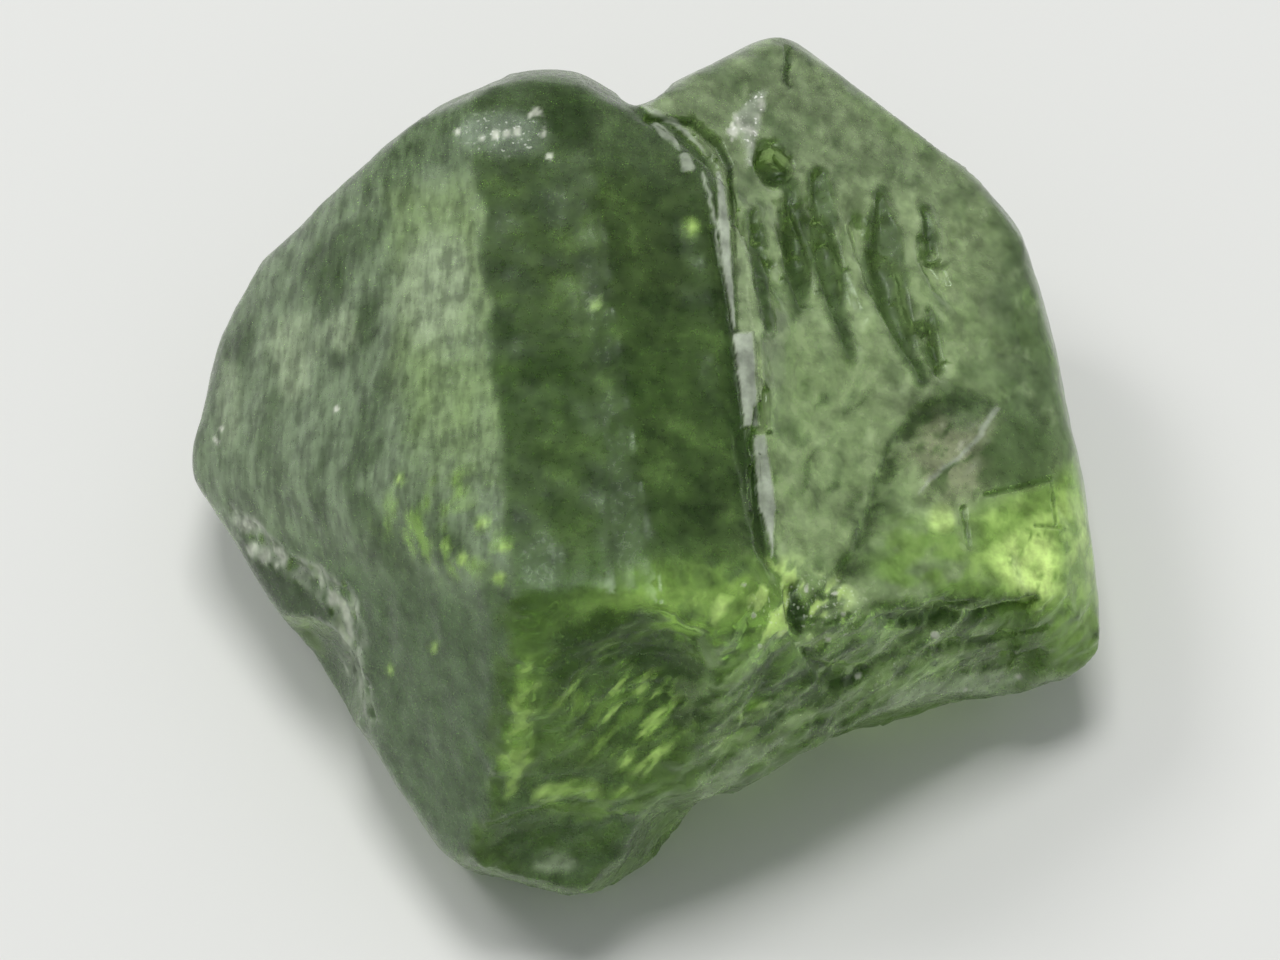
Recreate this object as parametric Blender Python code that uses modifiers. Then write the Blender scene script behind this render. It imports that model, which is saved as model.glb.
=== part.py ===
"""Rough peridot: two olivine crystals grown together side by side, etched round, and broken at their near ends.

Everything is set out in the stone's own frame, as it looks face on: X to the right, Y up along the crystals'
long axis, Z towards the eye, in millimetres. lay_down() then leans the stone back onto its resting face and
puts the middle of its underside on the origin, in metres.
"""

import math

import bmesh
import bpy
from mathutils import Matrix, Vector

MM = 0.001
# Points closer than this, in millimetres, are one point.
SAME_PLACE = 0.0001
NODE = "peridot_crystal"
STONE_COLOUR = (0.13, 0.22, 0.08, 1.0)
STONE_ROUGHNESS = 0.22
STONE_IOR = 1.67
STONE_CLEARNESS = 0.6

# The pose: how far the long axis leans up from the table, in degrees, and the height of the stone's
# own origin above the table, in millimetres.
LEAN_BACK = 30.0
MID_HEIGHT = 3.5

# Each crystal is a block cut down by its faces. A face is (heading, lean, distance): heading turns
# anticlockwise from the right, in degrees; lean is how far the face looks towards the eye, in degrees;
# distance is from the crystal's centre, in millimetres. BLOCK is the side of the block, in millimetres.
BLOCK = 40.0
LEFT_CENTRE = (-2.6, 0.0, 0.0)
LEFT_FACES = {
    "side_low": (215.0, 0.0, 3.02),
    "side_tip": (188.0, 0.0, 3.68),
    "side_mid": (167.5, 0.0, 3.66),
    "side_high": (152.5, 0.0, 3.80),
    "shoulder": (131.0, 0.0, 4.07),
    "crown_left": (114.0, 4.0, 4.78),
    "crown": (87.0, 5.0, 5.67),
    "crown_right": (57.0, 6.0, 5.62),
    "seam_high": (27.0, 16.0, 5.25),
    "seam": (9.7, 22.0, 4.98),
    "foot_right": (-24.0, 7.0, 5.10),
    "foot_low": (-33.0, 7.0, 5.02),
    "foot_corner": (-50.0, 8.0, 5.64),
    "foot": (253.5, 5.0, 5.05),
    "prism_left": (161.5, 37.5, 2.27),
    "prism_ridge": (131.0, 58.0, 2.85),
    "prism_top": (75.0, 62.0, 3.37),
    "break_low_left": (201.0, 33.0, 2.26),
    "break_near": (-80.0, 54.5, 4.73),
    "far_under": (103.0, -48.5, 4.15),
    "left_under": (191.0, -40.0, 4.30),
    "near_under": (264.0, -6.5, 5.40),
}
RIGHT_CENTRE = (3.2, 0.8, 0.0)
RIGHT_FACES = {
    "buried_side": (188.0, 0.0, 3.40),
    "crown_left": (117.5, 2.0, 5.40),
    "crown": (90.0, 4.0, 5.30),
    "shoulder": (54.0, 2.0, 3.68),
    "side_high": (40.0, 0.0, 3.43),
    "side_mid": (15.0, 0.0, 2.80),
    "side_low": (9.0, 0.0, 2.75),
    "foot_corner": (-11.5, 0.0, 3.88),
    "foot": (-73.6, 4.0, 4.36),
    "prism_top": (44.4, 49.2, 1.02),
    "prism_right": (10.0, 25.0, 2.35),
    "break_near": (-53.0, 36.0, 3.35),
    "far_under": (77.0, -48.5, 4.80),
    "right_under": (-14.5, -34.0, 3.60),
    "near_under": (-73.0, -14.0, 4.30),
}

# The seam between the two crystals is a groove. Its line, seen face on, runs from the notch at the crown
# to the foot, first over the right crystal's top face and then over its broken end.
SEAM_RADIUS = 0.19
SEAM_ROUNDNESS = 1
SEAM_STEPS = 3
SEAM_LIFT = Vector((0.0, 0.0, 0.12))
SEAM_ON_TOP = [(-0.35, 5.55), (-0.04, 5.15), (0.70, 4.72), (1.14, 4.00), (1.32, 2.50), (1.56, 0.70), (1.80, -1.00)]
SEAM_ON_BREAK = [(2.05, -1.90), (1.66, -2.90), (0.95, -4.40)]

# Etch pits, sunk in the right crystal's top face along its length: (x, y, length, width, slant in degrees).
PIT_DEPTH = 0.20
PIT_FINENESS = 3
PITS = [
    (1.86, 4.32, 0.80, 0.56, 0.0),
    (1.72, 3.00, 1.90, 0.26, 6.0),
    (2.16, 3.05, 1.90, 0.38, 5.0),
    (2.68, 2.85, 2.60, 0.38, 8.0),
    (3.40, 2.60, 2.50, 0.52, 11.0),
    (4.08, 2.90, 1.20, 0.30, 12.0),
    (4.02, 1.75, 1.10, 0.28, 10.0),
]

# Shell-shaped scoops where the stone broke: name: (x, y, z) on the surface, (heading, lean) that the scoop
# opens towards, half its size across and half its size along the given way, depth, and that way.
UP = (0.0, 1.0, 0.0)
TO_EYE = (0.0, 0.0, 1.0)
SCOOPS = {
    "left_break_shell": ((-0.05, -2.90, 3.45), (-80.0, 54.5), 0.95, 1.25, 0.32, UP),
    "left_foot_shell": ((-0.80, -4.75, 2.12), (-95.0, 40.0), 1.15, 0.60, 0.20, UP),
    "right_foot_shell": ((3.40, -3.61, -0.20), (-73.6, 4.0), 2.35, 2.30, 0.44, TO_EYE),
    "right_window_shell": ((5.33, -1.15, 1.20), (25.0, 45.0), 0.40, 0.50, 0.12, UP),
    "crown_notch": ((0.00, 5.42, -0.60), (80.0, 0.0), 0.34, 2.60, 0.34, TO_EYE),
    "foot_notch": ((1.00, -4.38, -0.30), (-53.0, 0.0), 0.32, 2.20, 0.26, TO_EYE),
    "left_edge_nook": ((-4.38, -2.60, 0.00), (212.0, 10.0), 0.85, 1.90, 0.48, TO_EYE),
    "left_edge_chip": ((-5.05, -0.95, 0.75), (212.0, 35.0), 0.80, 0.70, 0.22, TO_EYE),
    "far_left_shell": ((-3.60, 3.80, -1.90), (120.0, -30.0), 1.90, 1.40, 0.45, TO_EYE),
    "far_right_shell": ((3.80, 4.40, -2.60), (70.0, -40.0), 1.70, 1.20, 0.40, TO_EYE),
}
# A scoop is the end of a ball this many times as deep as itself.
SCOOP_REACH = 4.0
SCOOP_FINENESS = 4

# Ledges on the right crystal's broken end. Below each line, seen face on, the surface steps down:
# name: (left end, right end, depth at the left end, depth at the right end).
LEDGES = {
    "upper_ledge": ((3.10, -1.95), (5.45, -1.66), 0.04, 0.30),
    "lower_ledge": ((3.60, -2.62), (5.65, -2.42), 0.10, 0.42),
}
LEDGE_REACH = 4.0
LEDGE_HEIGHT = 2.0

# How the grown form is weathered, in millimetres: the grain that it is rebuilt at, the steps that round
# its edges, and the swell of its faces. Fewer faces are then kept where it is smooth.
GRAIN = 0.20
ROUNDING_STEPS = 10
SWELL_SIZE = 2.2
SWELL_HEIGHT = 0.16
KEPT_SHARE = 0.33


def direction(heading, lean):
    """The unit vector that a face with this heading and lean looks along."""
    around, up = math.radians(heading), math.radians(lean)
    return Vector((math.cos(around) * math.cos(up), math.sin(around) * math.cos(up), math.sin(up)))


def on_face(x, y, centre, face):
    """The point of a crystal face that lies behind (x, y), seen face on."""
    heading, lean, distance = face
    normal = direction(heading, lean)
    across = Vector((x, y, 0.0)) - Vector(centre)
    return Vector((x, y, (distance - normal.dot(across)) / normal.z))


def facing(normal, way):
    """The rotation whose Z is the normal and whose Y is as near to the given way as it can be."""
    across = way.cross(normal).normalized()
    return Matrix((across, normal.cross(across), normal)).transposed()


def peridot_material():
    """Yellow-green olivine: clear, glassy where it is broken and dull where it is etched."""
    made = bpy.data.materials.new("peridot")
    made.use_nodes = True
    surface = made.node_tree.nodes["Principled BSDF"]
    surface.inputs["Base Color"].default_value = STONE_COLOUR
    surface.inputs["Roughness"].default_value = STONE_ROUGHNESS
    surface.inputs["Metallic"].default_value = 0.0
    surface.inputs["IOR"].default_value = STONE_IOR
    surface.inputs["Transmission Weight"].default_value = STONE_CLEARNESS
    made.diffuse_color = STONE_COLOUR
    return made


def clear_scene():
    """Removes whatever the file opened with."""
    for old in list(bpy.data.objects):
        bpy.data.objects.remove(old)


def new_collection(name):
    """A collection of that name, in the scene."""
    made = bpy.data.collections.new(name)
    bpy.context.scene.collection.children.link(made)
    return made


def object_from(bm, name, collection):
    """Turns a bmesh in millimetres into an object in the collection, in metres."""
    bmesh.ops.recalc_face_normals(bm, faces=bm.faces)
    mesh = bpy.data.meshes.new(name)
    bm.to_mesh(mesh)
    bm.free()
    mesh.transform(Matrix.Scale(MM, 4))
    made = bpy.data.objects.new(name, mesh)
    collection.objects.link(made)
    return made


def as_helper(obj):
    """Marks an object that only cuts or joins another."""
    obj.hide_render = True
    obj.display_type = "WIRE"
    return obj


def slice_off(bm, point, normal):
    """Cuts away what lies beyond a plane and closes the cut with one flat face."""
    everything = bm.verts[:] + bm.edges[:] + bm.faces[:]
    cut = bmesh.ops.bisect_plane(
        bm, geom=everything, dist=SAME_PLACE, plane_co=point, plane_no=normal, clear_outer=True
    )
    rim = [part for part in cut["geom_cut"] if isinstance(part, bmesh.types.BMEdge)]
    if rim:
        bmesh.ops.contextual_create(bm, geom=rim)


def faceted_crystal(name, centre, faces, collection):
    """A block cut down by the crystal's faces."""
    middle = Vector(centre)
    bm = bmesh.new()
    bmesh.ops.create_cube(bm, size=BLOCK, matrix=Matrix.Translation(middle))
    for heading, lean, distance in faces.values():
        normal = direction(heading, lean)
        slice_off(bm, middle + normal * distance, normal)
    return object_from(bm, name, collection)


def ellipsoid(name, middle, turn, radii, fineness, collection):
    """A ball stretched to the radii, turned by a 3x3 matrix and set down at its middle."""
    bm = bmesh.new()
    shape = Matrix.Translation(middle) @ turn.to_4x4() @ Matrix.Diagonal((*radii, 1.0))
    bmesh.ops.create_icosphere(bm, subdivisions=fineness, radius=1.0, matrix=shape)
    return as_helper(object_from(bm, name, collection))


def make_pits(collection):
    """Long, narrow ellipsoids, half sunk in the right crystal's top face."""
    face = RIGHT_FACES["prism_top"]
    normal = direction(face[0], face[1])
    for number, (x, y, length, width, slant) in enumerate(PITS, 1):
        along = Vector((-math.sin(math.radians(slant)), math.cos(math.radians(slant)), 0.0))
        middle = on_face(x, y, RIGHT_CENTRE, face)
        radii = (width / 2, length / 2, PIT_DEPTH)
        ellipsoid(f"pit_{number}", middle, facing(normal, along), radii, PIT_FINENESS, collection)


def make_scoops(collection):
    """Ends of flattened balls, each as wide, long and deep where it meets the surface as asked for."""
    widen = SCOOP_REACH / math.sqrt(2 * SCOOP_REACH - 1)
    for name, (place, (heading, lean), half_across, half_along, depth, way) in SCOOPS.items():
        normal = direction(heading, lean)
        reach = SCOOP_REACH * depth
        middle = Vector(place) + normal * (reach - depth)
        radii = (half_across * widen, half_along * widen, reach)
        ellipsoid(name, middle, facing(normal, Vector(way)), radii, SCOOP_FINENESS, collection)


def make_ledges(collection):
    """Blocks whose floors lie just under the broken end and whose near walls follow the ledges' lines."""
    face = RIGHT_FACES["break_near"]
    normal = direction(face[0], face[1])
    for name, (left_end, right_end, left_depth, right_depth) in LEDGES.items():
        left = on_face(*left_end, RIGHT_CENTRE, face) - normal * left_depth
        right = on_face(*right_end, RIGHT_CENTRE, face) - normal * right_depth
        across = (right - left).normalized()
        down_slope = across.cross(normal).normalized()
        out = down_slope.cross(across)
        size = ((right - left).length, LEDGE_REACH, LEDGE_HEIGHT)
        middle = (left + right) / 2 + down_slope * (LEDGE_REACH / 2) + out * (LEDGE_HEIGHT / 2)
        turn = Matrix((across, down_slope, -out)).transposed()
        bm = bmesh.new()
        shape = Matrix.Translation(middle) @ turn.to_4x4() @ Matrix.Diagonal((*size, 1.0))
        bmesh.ops.create_cube(bm, size=1.0, matrix=shape)
        as_helper(object_from(bm, name, collection))


def make_seam(collection):
    """A thin tube along the seam's line, as a closed mesh."""
    top = [on_face(x, y, RIGHT_CENTRE, RIGHT_FACES["prism_top"]) for x, y in SEAM_ON_TOP]
    low = [on_face(x, y, RIGHT_CENTRE, RIGHT_FACES["break_near"]) for x, y in SEAM_ON_BREAK]
    curve = bpy.data.curves.new("seam_line", "CURVE")
    curve.dimensions = "3D"
    curve.bevel_depth = SEAM_RADIUS * MM
    curve.bevel_resolution = SEAM_ROUNDNESS
    curve.use_fill_caps = True
    curve.resolution_u = SEAM_STEPS
    line = curve.splines.new("BEZIER")
    line.bezier_points.add(len(top + low) - 1)
    for knot, place in zip(line.bezier_points, top + low):
        knot.co = (place + SEAM_LIFT) * MM
        knot.handle_left_type = knot.handle_right_type = "AUTO"
    tube = bpy.data.objects.new("seam_line", curve)
    collection.objects.link(tube)
    graph = bpy.context.evaluated_depsgraph_get()
    mesh = bpy.data.meshes.new_from_object(tube.evaluated_get(graph))
    bpy.data.objects.remove(tube)
    bm = bmesh.new()
    bm.from_mesh(mesh)
    bmesh.ops.remove_doubles(bm, verts=bm.verts, dist=SAME_PLACE * MM)
    bmesh.ops.recalc_face_normals(bm, faces=bm.faces)
    bm.to_mesh(mesh)
    bm.free()
    groove = bpy.data.objects.new("seam_groove", mesh)
    collection.objects.link(groove)
    as_helper(groove)


def add_boolean(target, tool, operation):
    """Joins a helper to the target, or cuts it away, with Blender's exact solver."""
    modifier = target.modifiers.new(tool.name, "BOOLEAN")
    modifier.operation = operation
    modifier.object = tool


def weather(stone):
    """Rounds the edges and swells the faces, as etching and wear have done."""
    grain = stone.modifiers.new("grain", "REMESH")
    grain.mode = "VOXEL"
    grain.voxel_size = GRAIN * MM
    rounding = stone.modifiers.new("rounding", "SMOOTH")
    rounding.factor = 0.5
    rounding.iterations = ROUNDING_STEPS
    swell_texture = bpy.data.textures.new("swell", "CLOUDS")
    swell_texture.noise_scale = SWELL_SIZE * MM
    swell_texture.noise_depth = 1
    swell = stone.modifiers.new("swell", "DISPLACE")
    swell.texture = swell_texture
    swell.texture_coords = "LOCAL"
    swell.strength = SWELL_HEIGHT * MM
    swell.mid_level = 0.5


def thin_out(stone):
    """Keeps fewer faces where the surface is smooth."""
    thinning = stone.modifiers.new("thinning", "DECIMATE")
    thinning.ratio = KEPT_SHARE


def resting_slab(collection):
    """A slab whose top is the table, in the stone's own frame."""
    down = Matrix.Rotation(math.radians(-LEAN_BACK), 3, "X") @ Vector((0, 0, -1))
    bm = bmesh.new()
    bmesh.ops.create_cube(bm, size=BLOCK)
    slab = object_from(bm, "resting_slab", collection)
    slab.rotation_euler.x = math.radians(-LEAN_BACK)
    slab.location = down * (MID_HEIGHT + BLOCK / 2) * MM
    return as_helper(slab)


def lay_down(stone, helpers):
    """Leans the stone back onto its resting face, and puts the middle of its underside on the origin."""
    pose = bpy.data.objects.new("resting_pose", None)
    bpy.context.scene.collection.objects.link(pose)
    for obj in [stone, *helpers]:
        obj.parent = pose
    pose.rotation_euler.x = math.radians(LEAN_BACK)
    pose.location.z = MID_HEIGHT * MM
    bpy.context.view_layer.update()
    laid = stone.evaluated_get(bpy.context.evaluated_depsgraph_get())
    points = [laid.matrix_world @ vertex.co for vertex in laid.data.vertices]
    low = Vector([min(point[axis] for point in points) for axis in range(3)])
    high = Vector([max(point[axis] for point in points) for axis in range(3)])
    pose.location -= Vector(((low.x + high.x) / 2, (low.y + high.y) / 2, low.z))
    bpy.context.view_layer.update()


def main():
    clear_scene()
    collection = new_collection("rough_peridot")
    helpers = new_collection("helpers")
    damage = new_collection("damage")
    stone = faceted_crystal(NODE, LEFT_CENTRE, LEFT_FACES, collection)
    stone.data.materials.append(peridot_material())
    twin = as_helper(faceted_crystal("right_crystal", RIGHT_CENTRE, RIGHT_FACES, helpers))
    add_boolean(stone, twin, "UNION")
    weather(stone)
    make_ledges(damage)
    make_scoops(damage)
    make_pits(damage)
    make_seam(damage)
    for tool in damage.objects:
        add_boolean(stone, tool, "DIFFERENCE")
    thin_out(stone)
    slab = resting_slab(helpers)
    add_boolean(stone, slab, "DIFFERENCE")
    lay_down(stone, [twin, slab, *damage.objects])


main()
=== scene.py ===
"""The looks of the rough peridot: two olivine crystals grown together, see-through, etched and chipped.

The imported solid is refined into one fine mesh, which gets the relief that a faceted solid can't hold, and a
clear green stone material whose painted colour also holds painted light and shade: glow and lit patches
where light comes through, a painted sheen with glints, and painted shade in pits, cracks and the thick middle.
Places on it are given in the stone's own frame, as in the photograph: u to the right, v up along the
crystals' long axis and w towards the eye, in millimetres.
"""

import math

import bmesh
import bpy
import numpy as np
from mathutils import Matrix, Vector


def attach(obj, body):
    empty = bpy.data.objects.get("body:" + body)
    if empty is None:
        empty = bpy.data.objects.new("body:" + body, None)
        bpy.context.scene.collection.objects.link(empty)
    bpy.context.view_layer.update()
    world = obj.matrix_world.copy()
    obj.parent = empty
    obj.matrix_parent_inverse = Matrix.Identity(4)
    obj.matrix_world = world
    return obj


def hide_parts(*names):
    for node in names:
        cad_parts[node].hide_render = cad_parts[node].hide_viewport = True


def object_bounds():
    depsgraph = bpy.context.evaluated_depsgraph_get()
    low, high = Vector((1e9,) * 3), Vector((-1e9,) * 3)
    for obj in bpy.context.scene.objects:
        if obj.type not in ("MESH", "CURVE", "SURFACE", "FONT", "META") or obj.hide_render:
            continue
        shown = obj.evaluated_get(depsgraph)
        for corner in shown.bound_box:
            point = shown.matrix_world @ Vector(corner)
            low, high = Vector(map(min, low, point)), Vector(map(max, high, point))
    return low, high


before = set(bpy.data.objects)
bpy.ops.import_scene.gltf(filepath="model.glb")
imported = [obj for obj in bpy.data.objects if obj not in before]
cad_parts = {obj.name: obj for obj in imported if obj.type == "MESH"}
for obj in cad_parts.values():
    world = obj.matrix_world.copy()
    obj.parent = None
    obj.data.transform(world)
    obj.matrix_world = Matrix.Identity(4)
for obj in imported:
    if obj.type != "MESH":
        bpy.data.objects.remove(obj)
CAD_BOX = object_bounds()

MM = 0.001
NODE = "peridot_crystal"
PIECE = "rough_peridot"

# The stone's own frame: where its origin lies in the row frame, in millimetres, and how far it leans back.
STONE_ORIGIN = Vector((-0.0639, -0.3594, 3.5))
LEAN_BACK = 30.0
TO_ROW = Matrix.Rotation(math.radians(LEAN_BACK), 3, "X")

# The main faces, as (heading, lean) in degrees: the heading counter-clockwise from +u as the eye sees it, the
# lean towards the eye.
LEFT_PRISM = (161.5, 37.5)
RIGHT_PRISM = (44.4, 49.2)
BREAK = (-68.0, 45.0)

# The fine mesh, in millimetres. Faces near fine features are split in four once, and near thin lines twice.
FINE_GRAIN = 0.098
SMOOTHING_FACTOR = 0.5
SMOOTHING_STEPS = 3
SEAM_MARGIN = 0.40
PIT_MARGIN = 0.14
STROKE_MARGIN = 0.12
LINE_MARGIN = 0.06
NARROW_MARGIN = 0.05

# Lines down the side towards the eye, as (u, v): the left crystal's ridge and the seam of the two crystals.
RIDGE = ((-2.30, 5.20), (-2.21, 4.14), (-1.93, 1.10), (-1.64, -1.66), (-1.88, -3.49), (-2.07, -4.83))
SEAM = (
    (-0.04, 5.15), (0.55, 4.83), (0.90, 4.42), (1.13, 3.86), (1.28, 2.48), (1.45, 1.10), (1.77, -0.97),
    (2.00, -1.66), (1.38, -3.04), (0.90, -4.35),
)

# Groups of strokes. Each stroke is a path of (u, v, half width) in millimetres.
SQUARE_LEDGES = (
    ((1.39, 1.99, 0.14), (1.50, 0.72, 0.10)),
    ((1.60, 0.62, 0.09), (1.72, -0.44, 0.12)),
)
PALE_LEDGES = (
    ((1.72, -0.40, 0.09), (1.78, -1.02, 0.01)),
    ((1.08, 4.20, 0.04), (1.14, 3.50, 0.08), (1.20, 2.75, 0.06), (1.28, 2.05, 0.02)),
)
PALE_THREADS = (
    ((0.03, 5.13, 0.03), (0.50, 4.91, 0.05), (0.74, 4.66, 0.03), (0.92, 4.44, 0.02)),
    ((0.23, 4.87, 0.05), (0.40, 4.70, 0.07), (0.54, 4.53, 0.02)),
    ((0.62, 4.40, 0.09), (0.66, 4.28, 0.09)),
    ((0.86, 4.20, 0.03), (1.00, 3.60, 0.03), (1.10, 2.90, 0.02)),
)
BRUISED_WEDGE = (
    ((1.30, 4.80, 0.10), (1.45, 4.95, 0.17), (1.62, 5.22, 0.13), (1.72, 5.40, 0.02)),
    ((1.50, 4.95, 0.16), (1.52, 4.66, 0.09), (1.50, 4.36, 0.03)),
)
# Painted light: the clear wedge beside the seam is painted lit.
CLEAR_WEDGE = (((1.34, 3.92, 0.03), (1.40, 3.04, 0.07), (1.46, 2.40, 0.14), (1.50, 2.06, 0.18)),)
# Painted shade along the seam's groove, beside and below it, in its end pit, the top crack, pits and nicks.
DARK_SEAM = (
    ((0.10, 4.96, 0.03), (0.72, 4.90, 0.05), (1.06, 4.62, 0.06), (1.23, 4.30, 0.05), (1.31, 3.05, 0.01)),
)
DARK_BESIDE_SEAM = (
    (
        (0.98, 3.40, 0.04), (1.14, 2.60, 0.07), (1.22, 1.70, 0.09), (1.34, 0.70, 0.12), (1.50, -0.10, 0.14),
        (1.64, -0.90, 0.08), (1.72, -1.20, 0.02),
    ),
)
DARK_BELOW_SEAM = (((1.78, -2.22, 0.06), (1.64, -2.64, 0.15), (1.30, -3.00, 0.08), (1.02, -3.30, 0.03)),)
SEAM_END_PIT = (((2.02, -1.44, 0.10), (2.08, -1.80, 0.15), (2.12, -2.02, 0.07)),)
TOP_CRACK = (((2.04, 6.02, 0.03), (2.10, 5.80, 0.05), (2.02, 5.62, 0.03), (2.10, 5.46, 0.01)),)
ROUND_PIT = (((1.80, 4.36, 0.22), (1.88, 4.28, 0.22)),)
LENS_PITS = (
    ((1.54, 3.66, 0.02), (1.60, 3.20, 0.08), (1.64, 2.60, 0.05), (1.72, 2.04, 0.02)),
    ((2.04, 4.06, 0.03), (2.10, 3.50, 0.17), (2.16, 3.00, 0.18), (2.22, 2.40, 0.04)),
    ((2.46, 4.20, 0.10), (2.50, 3.60, 0.15), (2.58, 3.00, 0.17), (2.68, 2.40, 0.09), (2.88, 1.70, 0.02)),
    ((3.30, 3.95, 0.03), (3.36, 3.40, 0.18), (3.38, 2.95, 0.23), (3.50, 2.30, 0.17), (3.88, 1.42, 0.05)),
    ((3.94, 3.72, 0.03), (4.00, 3.40, 0.09), (4.04, 3.12, 0.03)),
    ((3.98, 2.30, 0.02), (4.02, 1.90, 0.06), (4.10, 1.50, 0.03)),
)
NICKS = (
    ((2.40, 0.98, 0.01), (2.50, 1.12, 0.04)),
    ((2.38, 0.46, 0.01), (2.22, 0.07, 0.04), (2.11, -0.26, 0.01)),
    ((2.48, -0.18, 0.03), (2.68, 0.02, 0.06)),
    ((2.76, 0.94, 0.01), (3.08, 1.14, 0.03)),
    ((2.80, -0.36, 0.02), (2.94, -0.24, 0.05)),
)
LEFT_CHIPS = (
    ((-5.63, -0.40, 0.02), (-5.22, -0.88, 0.16), (-4.86, -1.10, 0.08)),
    (
        (-4.74, -1.20, 0.10), (-4.31, -1.45, 0.15), (-4.06, -1.66, 0.20), (-3.98, -2.10, 0.13),
        (-3.90, -2.60, 0.10), (-3.66, -3.25, 0.04),
    ),
)
# Painted shade below the left chips.
DARK_LUMP = (((-5.50, -0.90, 0.06), (-5.20, -1.30, 0.22), (-4.80, -1.60, 0.22), (-4.35, -1.85, 0.12)),)
FEATHER_LINE = (
    (
        (4.92, 1.00, 0.04), (4.78, 0.82, 0.05), (4.60, 0.52, 0.04), (4.32, 0.28, 0.03), (4.03, 0.08, 0.03),
        (3.80, -0.16, 0.02),
    ),
)
FEATHER_SHADE = (((3.72, 0.62, 0.08), (3.92, 0.96, 0.14), (4.35, 1.14, 0.13), (4.76, 1.08, 0.05)),)
# Painted shade along a diagonal crack, the cleavage steps and the lines under the end's ledges.
DIAGONAL = (
    (
        (4.14, 1.10, 0.04), (3.84, 0.88, 0.12), (3.40, 0.20, 0.14), (3.06, -0.61, 0.09), (2.90, -1.02, 0.05),
        (2.48, -1.60, 0.12), (2.21, -1.84, 0.04),
    ),
)
CLEAVAGE_STEPS = (
    ((4.72, -0.21, 0.03), (5.64, 0.01, 0.03)),
    ((5.67, 0.01, 0.02), (5.71, -0.65, 0.02)),
    ((5.42, -0.62, 0.02), (5.75, -0.65, 0.02)),
    ((4.40, -0.40, 0.04), (4.49, -0.90, 0.03)),
    ((4.95, -2.17, 0.02), (5.59, -2.03, 0.03)),
)
END_LEDGES = (
    ((3.23, -1.89, 0.05), (3.70, -1.86, 0.13), (4.14, -1.77, 0.12), (4.80, -1.72, 0.07), (5.42, -1.66, 0.04)),
    ((3.90, -2.34, 0.05), (4.60, -2.22, 0.07), (5.10, -2.12, 0.03)),
    ((2.20, -2.30, 0.05), (2.60, -2.70, 0.16), (3.00, -2.60, 0.10)),
)
FOOT_BEVELS = (
    ((3.10, -3.30, 0.06), (3.60, -3.02, 0.14), (4.40, -2.86, 0.15), (5.20, -2.74, 0.10), (5.96, -2.74, 0.04)),
    ((0.62, -4.75, 0.05), (0.95, -4.20, 0.12), (1.35, -3.80, 0.12), (1.90, -3.52, 0.04)),
    ((-1.40, -5.22, 0.02), (-1.17, -5.17, 0.06), (-0.95, -5.22, 0.03)),
)
SCOOP_SHADE = (
    (
        (-1.05, -2.60, 0.20), (-0.70, -2.15, 0.34), (-0.10, -2.10, 0.34), (0.45, -2.50, 0.30),
        (0.60, -3.10, 0.20),
    ),
)
# Painted light on the scoop's raised streaks, and on a strip and chips near the foot.
SCOOP_STREAKS = (
    ((-0.60, -2.36, 0.02), (-0.36, -2.25, 0.03), (-0.28, -2.20, 0.01)),
    ((-0.80, -3.42, 0.02), (-0.50, -3.10, 0.07), (-0.20, -2.86, 0.02)),
    ((-0.55, -3.52, 0.02), (-0.10, -3.12, 0.08), (0.10, -2.90, 0.02)),
    ((0.00, -3.34, 0.02), (0.18, -3.16, 0.06), (0.36, -3.04, 0.02)),
    ((0.14, -3.52, 0.02), (0.28, -3.36, 0.06), (0.42, -3.26, 0.02)),
    ((-0.95, -3.20, 0.02), (-0.74, -3.00, 0.05), (-0.60, -2.80, 0.01)),
)
BRIGHT_STRIP = (
    (
        (-1.50, -2.40, 0.04), (-1.53, -2.70, 0.12), (-1.58, -3.40, 0.13), (-1.72, -3.98, 0.13),
        (-1.80, -4.20, 0.03),
    ),
)
BRIGHT_CHIPS = (
    ((-1.34, -4.27, 0.04), (-0.95, -4.18, 0.12), (-0.60, -4.14, 0.05)),
    ((-0.40, -4.30, 0.05), (-0.20, -4.22, 0.09)),
    ((0.98, -3.62, 0.04), (1.30, -3.36, 0.12), (1.60, -3.12, 0.10), (1.70, -2.98, 0.03)),
)

# Small spots, as (u, v, half width): painted yellow-green spots of light that glow, and painted white glints.
BRIGHT_DOTS = (
    (-3.22, 0.00, 0.07), (-2.10, -0.57, 0.08), (-2.36, -1.06, 0.08), (-1.86, -1.30, 0.09),
    (-1.80, -0.87, 0.08), (-2.76, -2.25, 0.06), (-3.41, -2.58, 0.05), (-2.60, -0.90, 0.06),
    (0.70, 3.45, 0.11), (-0.60, 2.38, 0.08),
)
GLINTS = (
    (-2.50, 4.76, 0.05), (-1.97, 4.72, 0.06), (-1.81, 4.72, 0.05), (-1.67, 4.75, 0.06), (-1.42, 5.04, 0.07),
    (-1.32, 4.72, 0.04), (-1.23, 4.40, 0.05), (-2.16, 4.66, 0.04), (-1.50, 4.98, 0.04), (1.26, 4.91, 0.04),
    (1.26, 4.68, 0.03), (4.02, -2.10, 0.06), (2.94, -2.65, 0.05), (5.23, -2.72, 0.04), (4.49, -2.88, 0.03),
    (1.38, -1.38, 0.03), (1.52, -1.79, 0.04), (1.59, -2.21, 0.03), (2.21, -1.45, 0.03), (2.62, -1.52, 0.03),
    (2.51, -2.15, 0.03), (2.73, -1.82, 0.03), (-4.14, 0.98, 0.04), (-5.89, 0.54, 0.04), (-5.80, 0.72, 0.03),
)

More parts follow.
